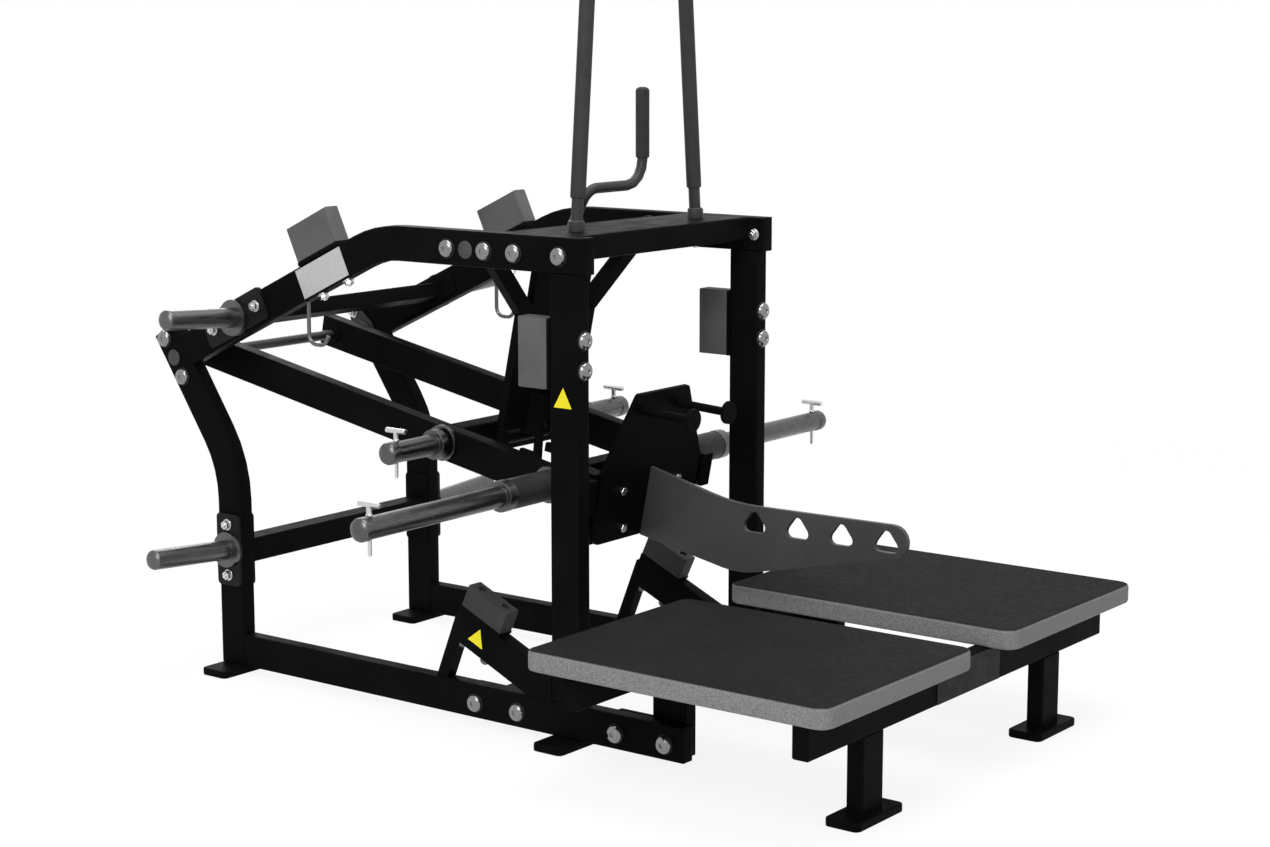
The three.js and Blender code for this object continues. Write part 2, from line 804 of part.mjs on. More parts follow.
// Storage horns on plates bolted to the outside of the frames, open at the back
function domeProfile(radius, length) {
  const points = [[radius, length - hornDome]];
  for (let i = 1; i < arcSteps; i += 1) {
    const angle = (Math.PI / 2) * (i / arcSteps);
    points.push([radius * Math.cos(angle), length - hornDome + hornDome * Math.sin(angle)]);
  }
  points.push([0, length]);
  return points;
}

const outward = (geometry, side) => geometry.rotateZ((-side * Math.PI) / 2);

function storageHorn(side, length, plateSize, angle, point) {
  const shoulder = endPlate + storageCollarLength;
  const tip = endPlate + length;
  const profile = [
    [0, -overrun],
    [storageCollarRadius, -overrun],
    [storageCollarRadius, shoulder],
    [hornRadius, shoulder],
    ...domeProfile(hornRadius, tip),
  ];
  const horn = solidOf(outward(turned([...profile, [0, -overrun]]), side).rotateY(-side * storageTilt));
  const inside = block([cutterSize, cutterSize, cutterSize], [(-side * cutterSize) / 2, 0, 0]);
  const plate = slab(rounded(centredRectangle(...plateSize), plateCorner), endPlate).applyMatrix4(sideways);
  const placed = solidOf(plate.translate((side * endPlate) / 2, 0, 0).rotateX(angle));
  const along = (distance) => [side * distance * Math.cos(storageTilt), 0, distance * Math.sin(storageTilt)];
  const bore = rod(along(-overrun), along(tip - hornDome), hornBore, hornFacets);
  const whole = without(joined(placed, without(horn, inside)), bore);
  return whole.translate([side * frameOuter, point.x, point.y]);
}

const upperHornPoint = walk(walk(beamBend, beamDown, upperHornAlong), beamUp, upperHornRise);
addPair('upper_storage_horn', (side) => storageHorn(
  side,
  upperStorageLength,
  [upperPlateLength, upperPlateWidth],
  -beamSlope,
  upperHornPoint,
), 'horn');
addPair('lower_storage_horn', (side) => storageHorn(
  side,
  lowerStorageLength,
  [lowerPlateWidth, lowerPlateLength],
  0,
  v2(rearUprightDepth, lowerHornHeight),
), 'horn');

// Belt hooks hanging from the sloped beams
function beltHook() {
  const slope = Math.tan(beamSlope);
  const root = beamHeight - tubeHalf / Math.cos(beamSlope) - (hookDepth - beamBendDepth) * slope;
  const low = v2(hookDepth - hookRun, root - hookDrop);
  const tip = walk(low, v2(-Math.cos(hookTipRise), Math.sin(hookTipRise)), hookTipLength);
  const hook = bentRod([
    [0, hookDepth, beamHeight],
    [0, hookDepth, low.y],
    [0, low.x, low.y],
    [0, tip.x, tip.y],
  ], hookRodRadius, [hookBend, hookBend]);
  const above = slab(centredRectangle(cutterSize, cutterSize), cutterSize).applyMatrix4(sideways);
  const rise = cutterSize / 2 - tubeHalf - seatGap;
  return without(hook, solidOf(tilted(above, -beamSlope, walk(beamBend, beamUp, rise))));
}

// Hand supports, each a tube in a socket with a long grip
const supportLean = (supportTopSpread - supportSpread) / (supportTop - beamTop);
const supportPoint = (side, height) => [
  side * (supportSpread + supportLean * (height - beamTop)),
  supportDepth,
  height,
];

function gripShape(radius, core, length) {
  const bore = boreFor(core, hornFacets);
  return turned([
    [bore, 0],
    [radius - gripEdge, 0],
    [radius, gripEdge],
    [radius, length - gripShoulder],
    [radius - gripEdge, length - gripEdge],
    [gripCrown, length],
    [0, length],
    [0, length - gripWall],
    [bore, length - gripWall],
    [bore, 0],
  ]);
}

function handSupport(side) {
  const foot = supportPoint(side, beamTop);
  const socketProfile = [
    [0, 0],
    [socketRadius, 0],
    [socketRadius, socketHeight - socketEdge],
    [socketRadius - socketEdge, socketHeight],
    [0, socketHeight],
  ];
  const socket = solidOf(turned(socketProfile).rotateX(Math.PI / 2).translate(...foot));
  const below = block([cutterSize, cutterSize, cutterSize], [0, supportDepth, beamTop - cutterSize / 2]);
  const tubeEnd = supportPoint(side, supportTop - gripWall - seatGap);
  const tube = rod(supportPoint(side, beamTop - overrun / 2), tubeEnd, supportRadius, hornFacets);
  return without(joined(socket, tube), below);
}

function handGrip(side) {
  const start = new THREE.Vector3(...supportPoint(side, gripStart));
  const along = new THREE.Vector3(...supportPoint(side, supportTop)).sub(start);
  const length = along.length();
  const turn = new THREE.Quaternion().setFromUnitVectors(new THREE.Vector3(0, 1, 0), along.normalize());
  return solidOf(gripShape(gripRadius, supportRadius, length).applyQuaternion(turn).translate(...start));
}

addPair('belt_hook', beltHook, 'steel', frameSpread);
addPair('hand_support', handSupport, 'frame');
addPair('hand_grip', handGrip, 'grip');

// Two-bolt flange bearings on the inner faces of the frames
function ovalOutline(radius, endRadius, spacing) {
  const reach = spacing / 2;
  const touch = Math.acos((radius - endRadius) / reach);
  const arc = (centre, size, from, to) => Array.from({ length: arcSteps + 1 }, (_, i) => (
    walk(centre, heading(from + ((to - from) * i) / arcSteps), size)
  ));
  return [
    ...arc(v2(reach, 0), endRadius, -touch, touch),
    ...arc(v2(0, 0), radius, touch, Math.PI - touch),
    ...arc(v2(-reach, 0), endRadius, Math.PI - touch, Math.PI + touch),
    ...arc(v2(0, 0), radius, Math.PI + touch, 2 * Math.PI - touch),
  ];
}

function flangeBearing(side, angle, point) {
  const outline = ovalOutline(bearingRadius, bearingEndRadius, bearingSpacing);
  const flange = slab(outline, bearingFlange).applyMatrix4(sideways);
  flange.translate(side * (frameInner - bearingFlange / 2), 0, 0);
  const face = side * (frameInner - bearingFlange + weldDepth);
  const end = side * (frameInner - bearingFlange - bearingBoss);
  const boss = rod([face, 0, 0], [end, 0, 0], bearingBossRadius, hornFacets);
  const hole = rod([0, 0, 0], [side * cutterSize, 0, 0], boreFor(shaftRadius, shaftFacets), shaftFacets);
  return without(joined(solidOf(flange.rotateX(angle)), boss), hole).translate([0, point.x, point.y]);
}

addPair('lever_bearing', (side) => flangeBearing(side, Math.PI / 2 - uprightLean, pivot), 'bearing');
addPair('lockout_bearing', (side) => flangeBearing(side, 0, lockoutPivot), 'bearing');

// Lever, drawn level with its pivot at the origin and its nose to the front, then turned down
const leverPlaced = (solid) => solidOf(tilted(geometryOf(solid), leverDrop, pivot));
const shaftEnd = frameInner - shaftEndGap;
const postRear = faceReach - facePlate - seatGap - headPostDepth;

function leverArm(side) {
  const tube = sideTube([v2(-armReach, 0), v2(armTail, 0)], { startCap: true, endCap: true });
  const postHeight = faceShoulder + faceBottom;
  const postPlace = [
    (-side * (tubeWidth + headPostWidth)) / 2,
    -postRear - headPostDepth / 2,
    faceShoulder - postHeight / 2,
  ];
  const postWidth = headPostWidth + 2 * weldDepth;
  const post = levelSolid(rounded(centredRectangle(postWidth, headPostDepth), memberCorner), postHeight);
  const postBore = levelSolid(
    centredRectangle(headPostWidth - 2 * tubeWall, headPostDepth - 2 * tubeWall),
    postHeight - 2 * capThickness,
  );
  const [across, depth] = postPlace;
  const link = rod([0, depth, 0], [across, depth, 0], ventRadius);
  const vent = rod([0, -shortHornReach, 0], [across, -shortHornReach, 0], ventRadius);
  const hubEnd = tubeWidth / 2 + hubLength;
  const hub = rod([-hubEnd, 0, 0], [hubEnd, 0, 0], hubRadius, hornFacets);
  const shaftBore = rod([-hubEnd * 2, 0, 0], [hubEnd * 2, 0, 0], boreFor(shaftRadius, shaftFacets), shaftFacets);
  const body = joined(without(joined(tube, post.translate(postPlace)), postBore.translate(postPlace)), hub);
  return leverPlaced(without(body, link, vent, shaftBore));
}

const leverTie = (reach) => crossTube(2 * armInner, tubeWidth, tubeDepth).translate([0, -reach, 0]);

function midCrossbar() {
  const bar = rod([-catchBarHalf, -catchReach, catchRise], [catchBarHalf, -catchReach, catchRise], catchBarRadius, hornFacets);
  const front = -catchReach - catchLugNose;
  const rear = -shortHornReach - tubeWidth / 2 + weldDepth;
  const half = catchLugHeight / 2;
  const outline = rounded(
    rectangle(front, catchRise - half, rear, catchRise + half),
    [catchLugCorner, 0, 0, catchLugCorner],
  );
  const lugs = sides.map(([, side]) => {
    const centre = side * (catchBarHalf - catchLugWidth / 2);
    return acrossSolid(outline, catchLugWidth).translate([centre, 0, 0]);
  });
  return leverPlaced(joined(leverTie(shortHornReach), bar, ...lugs));
}

function frontPlate() {
  const outline = rounded([
    v2(-faceHalf, -faceBottom),
    v2(faceHalf, -faceBottom),
    v2(faceHalf, faceShoulder),
    v2(faceTopHalf, faceTop),
    v2(-faceTopHalf, faceTop),
    v2(-faceHalf, faceShoulder),
  ], [faceBottomCorner, faceBottomCorner, faceTopCorner, faceTopCorner, faceTopCorner, faceTopCorner]);
  const plate = facingSolid(outline, facePlate).translate([0, -faceReach + facePlate / 2, 0]);
  const pegs = sides.map(([, side]) => {
    const along = (distance) => [
      side * pegSpread,
      -faceReach - distance * Math.cos(pegRise),
      pegHeight + distance * Math.sin(pegRise),
    ];
    const peg = rod(along(-facePlate / 2), along(pegLength), pegRadius);
    const disc = rod(along(pegLength - weldDepth), along(pegLength + pegDiscThickness), pegDiscRadius, hornFacets);
    return joined(peg, disc);
  });
  return leverPlaced(joined(plate, ...pegs));
}

// Rounded triangle with its point up while the lever rests, in a row that is then level
function noseHole(index) {
  const level = heading(-leverDrop);
  const up = leftOf(level);
  const first = v2(-noseHoleFirst, noseHoleFirstHeight);
  const centre = walk(first, level, -noseHolePitch * index);
  const place = (across, rise) => walk(walk(centre, level, across), up, rise);
  const corners = [
    place(-noseHoleWidth / 2, -noseHoleTall / 2),
    place(noseHoleWidth / 2, -noseHoleTall / 2),
    place(0, noseHoleTall / 2),
  ];
  return acrossSolid(rounded(corners, noseHoleCorner), noseThickness + overrun);
}

function nosePlate() {
  const tip = v2(-noseTipReach, noseTipHeight);
  const waistTop = v2(-noseWaistTopReach, noseWaistTop);
  const waistBottom = v2(-noseWaistBottomReach, -noseWaistBottom);
  const touch = (waist, hand) => {
    const toTip = tip.clone().sub(waist);
    const spread = Math.acos(noseTipRadius / toTip.length());
    return toTip.angle() + Math.PI + hand * spread;
  };
  const from = touch(waistTop, 1);
  const sweep = THREE.MathUtils.euclideanModulo(touch(waistBottom, -1) - from, 2 * Math.PI);
  const round = Array.from({ length: 2 * arcSteps + 1 }, (_, i) => (
    walk(tip, heading(from + (sweep * i) / (2 * arcSteps)), noseTipRadius)
  ));
  const rootTop = v2(0, noseRootTop);
  const rootBottom = v2(0, -noseRootBottom);
  const outline = [
    rootBottom,
    rootTop,
    ...cornerArc(rootTop, waistTop, round[0], noseTopBend),
    ...round,
    ...cornerArc(round[2 * arcSteps], waistBottom, rootBottom, noseBottomBend),
  ];
  const holes = Array.from({ length: noseHoleCount }, (_, i) => noseHole(i));
  const plate = without(acrossSolid(outline, noseThickness), ...holes);
  return leverPlaced(plate.translate([0, -faceReach - seatGap, 0]));
}

addPair('lever_arm', leverArm, 'frame', armSpread);
addPiece('lever_shaft', rod([-shaftEnd, pivot.x, pivot.y], [shaftEnd, pivot.x, pivot.y], shaftRadius, shaftFacets), 'steel');
addPiece('front_crossbar', leverPlaced(leverTie(longHornReach)), 'frame');
addPiece('mid_crossbar', midCrossbar(), 'frame');
addPiece('front_plate', frontPlate(), 'frame');
addPiece('nose_plate', nosePlate(), 'plate');

// Weight horns with the hole for their pin, the landing sleeves and the pins
function weightHorn(side, length, collarStart, collarEnd, point) {
  const cap = length - hornCapLength;
  const horn = outward(turned([
    [hornBore, 0],
    [hornFlangeRadius, 0],
    [hornFlangeRadius, hornFlangeLength],
    [hornRadius, hornFlangeLength],
    [hornRadius, collarStart],
    [collarRadius, collarStart],
    [collarRadius, collarEnd],
    [hornRadius, collarEnd],
    [hornRadius, cap],
    [hornCapRadius, cap],
    ...domeProfile(hornCapRadius, length),
    [0, length - hornDome],
    [hornBore, length - hornDome],
    [hornBore, 0],
  ]), side);
  const tip = side * (length - pinInset);
  const hole = rod([tip, 0, -tubeDepth], [tip, 0, tubeDepth], pinRadius + pinHoleGap);
  return without(solidOf(horn), hole).translate([side * armOuter, point.x, point.y]);
}

function landingSleeve(side) {
  const bore = boreFor(hornRadius, hornFacets);
  const sleeve = outward(turned([
    [bore, 0],
    [sleeveRadius - sleeveEdge, 0],
    [sleeveRadius, sleeveEdge],
    [sleeveRadius, sleeveLength - sleeveEdge],
    [sleeveRadius - sleeveEdge, sleeveLength],
    [bore, sleeveLength],
    [bore, 0],
  ]), side);
  return solidOf(sleeve.translate(side * (armOuter + hornFlangeLength), longHorn.x, longHorn.y));
}

function hornPin(side, length, point) {
  const top = hornRadius + seatGap;
  const bottom = -hornRadius - pinTail;
  const barHeight = top + pinCollarHeight + pinStemHeight;
  const stem = turned([
    [0, bottom],
    [pinRadius / 2, bottom],
    [pinRadius, bottom + pinTipLength],
    [pinRadius, top],
    [pinCollarRadius, top],
    [pinCollarRadius, top + pinCollarHeight],
    [pinStemRadius, top + pinCollarHeight],
    [pinStemRadius, barHeight],
    [0, barHeight],
  ], rodFacets).rotateX(Math.PI / 2);
  const bar = rod([0, -pinBarLength / 2, barHeight], [0, pinBarLength / 2, barHeight], pinBarRadius);
  return joined(solidOf(stem), bar).translate([side * (armOuter + length - pinInset), point.x, point.y]);
}

const sleeveEnd = hornFlangeLength + sleeveLength;
const shortCollarEnd = shortCollarStart + shortCollarLength;
addPair('main_horn', (side) => weightHorn(
  side,
  longHornLength,
  sleeveEnd,
  sleeveEnd + collarLength,
  longHorn,
), 'horn');
addPair('landing_sleeve', landingSleeve, 'sleeve');
addPair('mid_horn', (side) => weightHorn(
  side,
  shortHornLength,
  shortCollarStart,
  shortCollarEnd,
  shortHorn,
), 'horn');
addPair('main_pin', (side) => hornPin(side, longHornLength, longHorn), 'steel');
addPair('mid_pin', (side) => hornPin(side, shortHornLength, shortHorn), 'steel');

// Lockout, drawn hanging straight down from its pivot at the origin, then leaned to the rear
function aboutLockout(reach, angle) {
  return v2(reach * Math.sin(angle - lockoutLean), -reach * Math.cos(angle - lockoutLean));
}

function panelOutline(neckHalf, half, top, bottom) {
  return [
    v2(-half, -bottom),
    v2(half, -bottom),
    v2(half, -panelShoulder),
    v2(neckHalf, -panelNeckEnd),
    v2(neckHalf, top),
    v2(-neckHalf, top),
    v2(-neckHalf, -panelNeckEnd),
    v2(-half, -panelShoulder),
  ];
}

function lockoutFrame() {
  const tube = rod([-lockoutTubeHalf, 0, 0], [lockoutTubeHalf, 0, 0], lockoutTubeRadius, shaftFacets);
  const stub = rod([-shaftEnd, 0, 0], [shaftEnd, 0, 0], shaftRadius, shaftFacets);
  const tubeInside = lockoutTubeHalf - capThickness;
  const bore = rod([-tubeInside, 0, 0], [tubeInside, 0, 0], lockoutTubeRadius - tubeWall, shaftFacets);
  const corners = [panelCorner, panelCorner, 0, 0, 0, 0, 0, 0];
  const outline = rounded(panelOutline(panelNeckHalf, panelHalf, 0, panelBottom), corners);
  const hollow = panelOutline(panelNeckHalf - tubeWall, panelHalf - tubeWall, 0, panelBottom - tubeWall);
  const struts = sides.map(([, side]) => {
    const strut = [
      v2(side * lockoutTubeHalf, -strutTop),
      v2(side * lockoutTubeHalf, -strutOuterDrop),
      v2(side * strutFootOuter, -strutFootOuterDrop),
      v2(side * strutFootInner, -strutFootInnerDrop),
      v2(side * strutInner, -strutTop),
    ];
    return facingSolid(strut, strutThickness);
  });
  const hook = [
    aboutLockout(hookTopReach, hookFrontAngle),
    aboutLockout(hookTongueReach, hookFrontAngle),
    aboutLockout(hookTongueReach, hookTongueAngle),
    aboutLockout(hookSeatReach, hookTongueAngle),
    aboutLockout(hookSeatReach, hookShankAngle),
    aboutLockout(hookBodyReach, hookShankAngle),
    aboutLockout(hookBodyReach, hookBodyAngle),
    aboutLockout(hookTopReach, hookBodyAngle),
  ];
  const hooks = sides.map(([, side]) => acrossSolid(hook, hookPlate).translate([side * hookSpread, 0, 0]));
  const bridge = block(
    [2 * bridgeHalf, bridgeThickness, bridgeBottom - hookTopReach],
    [0, -bridgeFront + bridgeThickness / 2, -(bridgeBottom + hookTopReach) / 2],
  );
  const inner = facingSolid(hollow, panelThickness - 2 * tubeWall);
  const shell = without(joined(tube, stub, facingSolid(outline, panelThickness), ...struts), bore, inner);
  const leaned = solidOf(geometryOf(joined(shell, ...hooks, bridge)).rotateX(lockoutLean));
  const [, depth, height] = handleRoute()[1];
  const vent = rod([0, 0, 0], [0, depth - lockoutPivot.x, height - lockoutPivot.y], ventRadius);
  return without(leaned, vent).translate([0, lockoutPivot.x, lockoutPivot.y]);
}

function handleRoute() {
  return [
    [0, lockoutPivot.x, lockoutPivot.y],
    [0, handleElbowDepth, handleElbowHeight],
    [handleSpread, handleElbowDepth, handleElbowHeight],
    [handleSpread, handleElbowDepth, handleTop - gripWall - seatGap],
  ];
}

function lockoutHandle() {
  const handle = bentRod(handleRoute(), handleRadius, [handleElbowBend, handleSideBend]);
  const [[, depth, height]] = handleRoute();
  const reach = (lockoutTubeRadius + seatGap) / Math.cos(Math.PI / shaftFacets);
  return without(handle, rod([-tubeDepth, depth, height], [tubeDepth, depth, height], reach, shaftFacets));
}

function lockoutGrip() {
  const grip = gripShape(handleGripRadius, handleRadius, handleTop - handleGripStart).rotateX(Math.PI / 2);
  return solidOf(grip.translate(handleSpread, handleElbowDepth, handleGripStart));
}

addPiece('lockout_frame', lockoutFrame(), 'frame');
addPiece('lockout_handle', lockoutHandle(), 'frame');
addPiece('lockout_grip', lockoutGrip(), 'grip');

export default machine;
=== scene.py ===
import math

import bmesh
import bpy
from mathutils import Matrix, Vector


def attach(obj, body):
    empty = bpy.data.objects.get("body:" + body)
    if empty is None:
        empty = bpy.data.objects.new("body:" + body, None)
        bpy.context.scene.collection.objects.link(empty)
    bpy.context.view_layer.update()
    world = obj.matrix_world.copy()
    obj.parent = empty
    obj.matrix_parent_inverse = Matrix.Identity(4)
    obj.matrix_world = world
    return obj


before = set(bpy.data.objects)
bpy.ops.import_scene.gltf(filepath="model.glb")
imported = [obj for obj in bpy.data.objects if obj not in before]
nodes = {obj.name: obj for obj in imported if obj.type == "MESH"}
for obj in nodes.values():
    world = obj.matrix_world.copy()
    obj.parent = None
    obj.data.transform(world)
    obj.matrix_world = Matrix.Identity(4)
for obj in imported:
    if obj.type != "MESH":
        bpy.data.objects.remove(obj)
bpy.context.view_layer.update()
MID = 1045.564


def place(x, depth, height):
    """A point in metres, from millimetres across, from the depth datum and above the floor."""
    return Vector((x, depth - MID, height)) / 1000


# Shader helpers
class Shader:
    def __init__(self, name):
        self.material = bpy.data.materials.new(name)
        self.material.use_nodes = True
        self.tree = self.material.node_tree
        self.tree.nodes.clear()
        self.out = self.add("ShaderNodeOutputMaterial")
        self.skin = self.add("ShaderNodeBsdfPrincipled")
        self.link(self.skin.outputs["BSDF"], self.out.inputs["Surface"])
        self.place = self.add("ShaderNodeTexCoord").outputs["Object"]

    def add(self, kind, **values):
        node = self.tree.nodes.new(kind)
        for key, value in values.items():
            setattr(node, key, value)
        return node

    def link(self, a, b):
        self.tree.links.new(a, b)

    def stretched(self, scale):
        node = self.add("ShaderNodeMapping")
        self.link(self.place, node.inputs["Vector"])
        node.inputs["Scale"].default_value = scale
        return node.outputs["Vector"]

    def noise(self, scale, detail=3.0, rough=0.5, vector=None):
        node = self.add("ShaderNodeTexNoise")
        node.inputs["Scale"].default_value = scale
        node.inputs["Detail"].default_value = detail
        node.inputs["Roughness"].default_value = rough
        self.link(vector or self.place, node.inputs["Vector"])
        return node.outputs["Fac"]

    def cells(self, scale, vector=None):
        node = self.add("ShaderNodeTexVoronoi")
        node.inputs["Scale"].default_value = scale
        self.link(vector or self.place, node.inputs["Vector"])
        return node.outputs["Distance"]

    def span(self, value, low, high, out_low, out_high):
        node = self.add("ShaderNodeMapRange")
        self.link(value, node.inputs["Value"])
        for key, number in zip(("From Min", "From Max", "To Min", "To Max"), (low, high, out_low, out_high)):
            node.inputs[key].default_value = number
        return node.outputs["Result"]

    def math(self, kind, a, b=0.0):
        node = self.add("ShaderNodeMath", operation=kind)
        for socket, value in zip(node.inputs, (a, b)):
            if isinstance(value, (int, float)):
                socket.default_value = value
            else:
                self.link(value, socket)
        return node.outputs[0]

    def blend(self, share, a, b):
        node = self.add("ShaderNodeMix", data_type="RGBA")
        self.link(share, node.inputs["Factor"])
        for socket, value in ((node.inputs["A"], a), (node.inputs["B"], b)):
            for match in (s for s in node.inputs if s.name == socket.name and s.type == "RGBA"):
                if isinstance(value, tuple):
                    match.default_value = (*value, 1)
                else:
                    self.link(value, match)
        return next(s for s in node.outputs if s.type == "RGBA")

    def axis(self, letter, source=None):
        node = self.add("ShaderNodeSeparateXYZ")
        self.link(source or self.place, node.inputs["Vector"])
        return node.outputs[letter]

    def edge(self, size=0.0015):
        """Share of 1 on outer edges, from a bevelled normal."""
        bevel = self.add("ShaderNodeBevel", samples=4)
        bevel.inputs["Radius"].default_value = size
        flat = self.add("ShaderNodeNewGeometry")
        dot = self.add("ShaderNodeVectorMath", operation="DOT_PRODUCT")
        self.link(bevel.outputs["Normal"], dot.inputs[0])
        self.link(flat.outputs["Normal"], dot.inputs[1])
        return self.span(dot.outputs["Value"], 0.93, 0.999, 1.0, 0.0)

    def put(self, **values):
        for key, value in values.items():
            socket = self.skin.inputs[key.replace("_", " ").title().replace("Ior", "IOR")]
            if isinstance(value, (int, float)):
                socket.default_value = value
            elif isinstance(value, tuple):
                socket.default_value = (*value, 1)
            else:
                self.link(value, socket)

    def bump(self, height, strength, distance):
        node = self.add("ShaderNodeBump")
        node.inputs["Strength"].default_value = strength
        node.inputs["Distance"].default_value = distance
        self.link(height, node.inputs["Height"])
        self.link(node.outputs["Normal"], self.skin.inputs["Normal"])


def paint(name, dark, light, rough=0.42, grain=900, shine=0.11):
    """Powder coat: fine pebbles, faint cloudiness, and edges lightened in patches like wear, which also serve as a
    painted edge highlight.
    """
    s = Shader(name)
    cloud = s.noise(6, 4)
    # Painted edge highlight, patchy like wear: outer edges are lightened towards 3.2 times the light colour.
    edge_wear_and_highlight = s.math("MULTIPLY", s.edge(), s.span(s.noise(40, 4), 0.4, 0.7, 0.25, 1.0))
    base = s.blend(s.span(cloud, 0.3, 0.7, 0, 1), dark, light)
    s.put(base_color=s.blend(s.math("MULTIPLY", edge_wear_and_highlight, 0.35), base, tuple(3.2 * c for c in light)))
    s.put(roughness=s.span(s.noise(25, 5), 0.3, 0.7, rough - 0.07, rough + 0.07), specular_ior_level=shine)
    s.bump(s.noise(grain, 2), 0.22, 0.0004)
    return s.material


def metal(name, dark, light, rough, scale, line=0.15):
    """Plated steel with fine turning or drawing lines along one way."""
    s = Shader(name)
    lines = s.noise(60, 6, 0.7, s.stretched(scale))
    s.put(base_color=s.blend(s.span(lines, 0.3, 0.7, 0, 1), dark, light), metallic=1.0)
    s.put(roughness=s.span(s.noise(14, 5), 0.3, 0.7, rough - 0.06, rough + 0.08))
    s.bump(lines, line, 0.0003)
    return s.material


def rubber(name, dark, light, rough=0.75, grain=420, shine=0.2):
    s = Shader(name)
    s.put(base_color=s.blend(s.span(s.noise(9, 5), 0.3, 0.7, 0, 1), dark, light))
    s.put(roughness=s.span(s.noise(60, 4), 0.3, 0.7, rough - 0.08, rough + 0.08), specular_ior_level=shine)
    s.bump(s.noise(grain, 3), 0.35, 0.0006)
    return s.material


def board():
    """Platform: a fine-grained dark top and a speckled lighter rim."""
    s = Shader("platform")
    geometry = s.add("ShaderNodeNewGeometry")
    top = s.span(s.axis("Z", geometry.outputs["Normal"]), 0.55, 0.9, 0, 1)
    speck = s.noise(750, 2, 0.6)
    rim = s.blend(s.span(speck, 0.38, 0.62, 0, 1), (0.085, 0.085, 0.086), (0.27, 0.27, 0.272))
    face = s.blend(s.span(s.noise(7, 5), 0.3, 0.7, 0, 1), (0.0115, 0.011, 0.0112), (0.0142, 0.0137, 0.0139))
    s.put(base_color=s.blend(top, rim, face), specular_ior_level=0.03)
    s.put(roughness=s.span(s.noise(80, 4), 0.3, 0.7, 0.62, 0.8))
    s.bump(s.math("ADD", s.noise(1100, 2), s.cells(420)), 0.3, 0.0006)
    return s.material


def horn_plate():
    """Storage horn: turned steel horn and collar on a black bolted plate, told apart by the distance outwards."""
    s = Shader("storage_horn")
    out = s.math("ABSOLUTE", s.axis("X"))
    beyond = s.span(out, 0.3709, 0.3711, 0, 1)
    lines = s.noise(60, 6, 0.7, s.stretched((0.6, 14, 14)))
    steel = s.blend(s.span(lines, 0.3, 0.7, 0, 1), (0.075, 0.0755, 0.077), (0.17, 0.171, 0.174))
    cloud = s.noise(6, 4)
    black = s.blend(s.span(cloud, 0.3, 0.7, 0, 1), (0.005, 0.005, 0.0055), (0.008, 0.008, 0.0085))
    s.put(base_color=s.blend(beyond, black, steel), metallic=beyond)
    s.put(specular_ior_level=s.span(beyond, 0, 1, 0.11, 0.5))
    s.put(roughness=s.span(s.noise(14, 5), 0.3, 0.7, 0.26, 0.4))
    s.bump(lines, 0.12, 0.0003)
    return s.material


def grip():
    """Rubber grip with fine moulded rings."""
    s = Shader("grip")
    wave = s.add("ShaderNodeTexWave", bands_direction="Z")
    wave.inputs["Scale"].default_value = 90
    wave.inputs["Distortion"].default_value = 0.15
    s.link(s.place, wave.inputs["Vector"])
    s.put(base_color=s.blend(s.span(s.noise(30, 4), 0.3, 0.7, 0, 1), (0.024, 0.024, 0.0245), (0.033, 0.033, 0.0335)))
    s.put(roughness=s.span(s.noise(60, 4), 0.3, 0.7, 0.6, 0.78), specular_ior_level=0.2)
    s.bump(s.math("ADD", s.math("MULTIPLY", wave.outputs["Fac"], 0.6), s.noise(600, 2)), 0.25, 0.0006)
    return s.material


def seen_rays(tree):
    """1 for rays that show the background: from the camera, off gloss and through glass."""
    rays = tree.nodes.new("ShaderNodeLightPath")
    total = rays.outputs["Is Camera Ray"]
    for name in ("Is Glossy Ray", "Is Transmission Ray"):
        node = tree.nodes.new("ShaderNodeMath")
        node.operation = "MAXIMUM"
        tree.links.new(total, node.inputs[0])
        tree.links.new(rays.outputs[name], node.inputs[1])
        total = node.outputs[0]
    return total


def stone():
    """Pale floor that keeps the shadow and fades out at its rim."""
    s = Shader("floor")
    s.put(base_color=s.blend(s.span(s.noise(1.3, 4), 0.3, 0.7, 0, 1), (0.93, 0.93, 0.93), (0.95, 0.95, 0.95)))
    s.put(roughness=s.span(s.noise(5, 4), 0.3, 0.7, 0.8, 0.95), specular_ior_level=0.1)
    glow = s.add("ShaderNodeEmission")
    lit = s.add("ShaderNodeMixShader")
    s.link(s.math("MULTIPLY", seen_rays(s.tree), 0.88), lit.inputs["Fac"])
    s.link(s.skin.outputs["BSDF"], lit.inputs[1])
    s.link(glow.outputs["Emission"], lit.inputs[2])
    clear = s.add("ShaderNodeBsdfTransparent")
    mix = s.add("ShaderNodeMixShader")
    far = s.add("ShaderNodeVectorMath", operation="LENGTH")
    s.link(s.place, far.inputs[0])
    s.link(s.span(far.outputs["Value"], 1.9, 4.6, 0, 1), mix.inputs["Fac"])
    s.link(lit.outputs["Shader"], mix.inputs[1])
    s.link(clear.outputs["BSDF"], mix.inputs[2])
    s.link(mix.outputs["Shader"], s.out.inputs["Surface"])
    return s.material


black = paint("frame_paint", (0.003, 0.003, 0.0032), (0.005, 0.005, 0.0053), shine=0.012)
plate_paint = paint("nose_paint", (0.042, 0.042, 0.0425), (0.058, 0.058, 0.059), 0.4, 900, 0.2)
cast = paint("bearing_paint", (0.016, 0.016, 0.0165), (0.026, 0.026, 0.027), 0.5, 500, 0.3)
gunmetal = metal("horn_steel", (0.055, 0.0555, 0.057), (0.15, 0.151, 0.154), 0.3, (0.6, 14, 14))
zinc = metal("zinc", (0.5, 0.505, 0.51), (0.72, 0.725, 0.73), 0.26, (6, 6, 6), 0.1)
shaft = metal("shaft_steel", (0.035, 0.035, 0.036), (0.075, 0.075, 0.076), 0.42, (0.6, 14, 14), 0.1)
dome_steel = metal("dome_steel", (0.15, 0.151, 0.154), (0.32, 0.321, 0.326), 0.2, (6, 6, 6), 0.08)
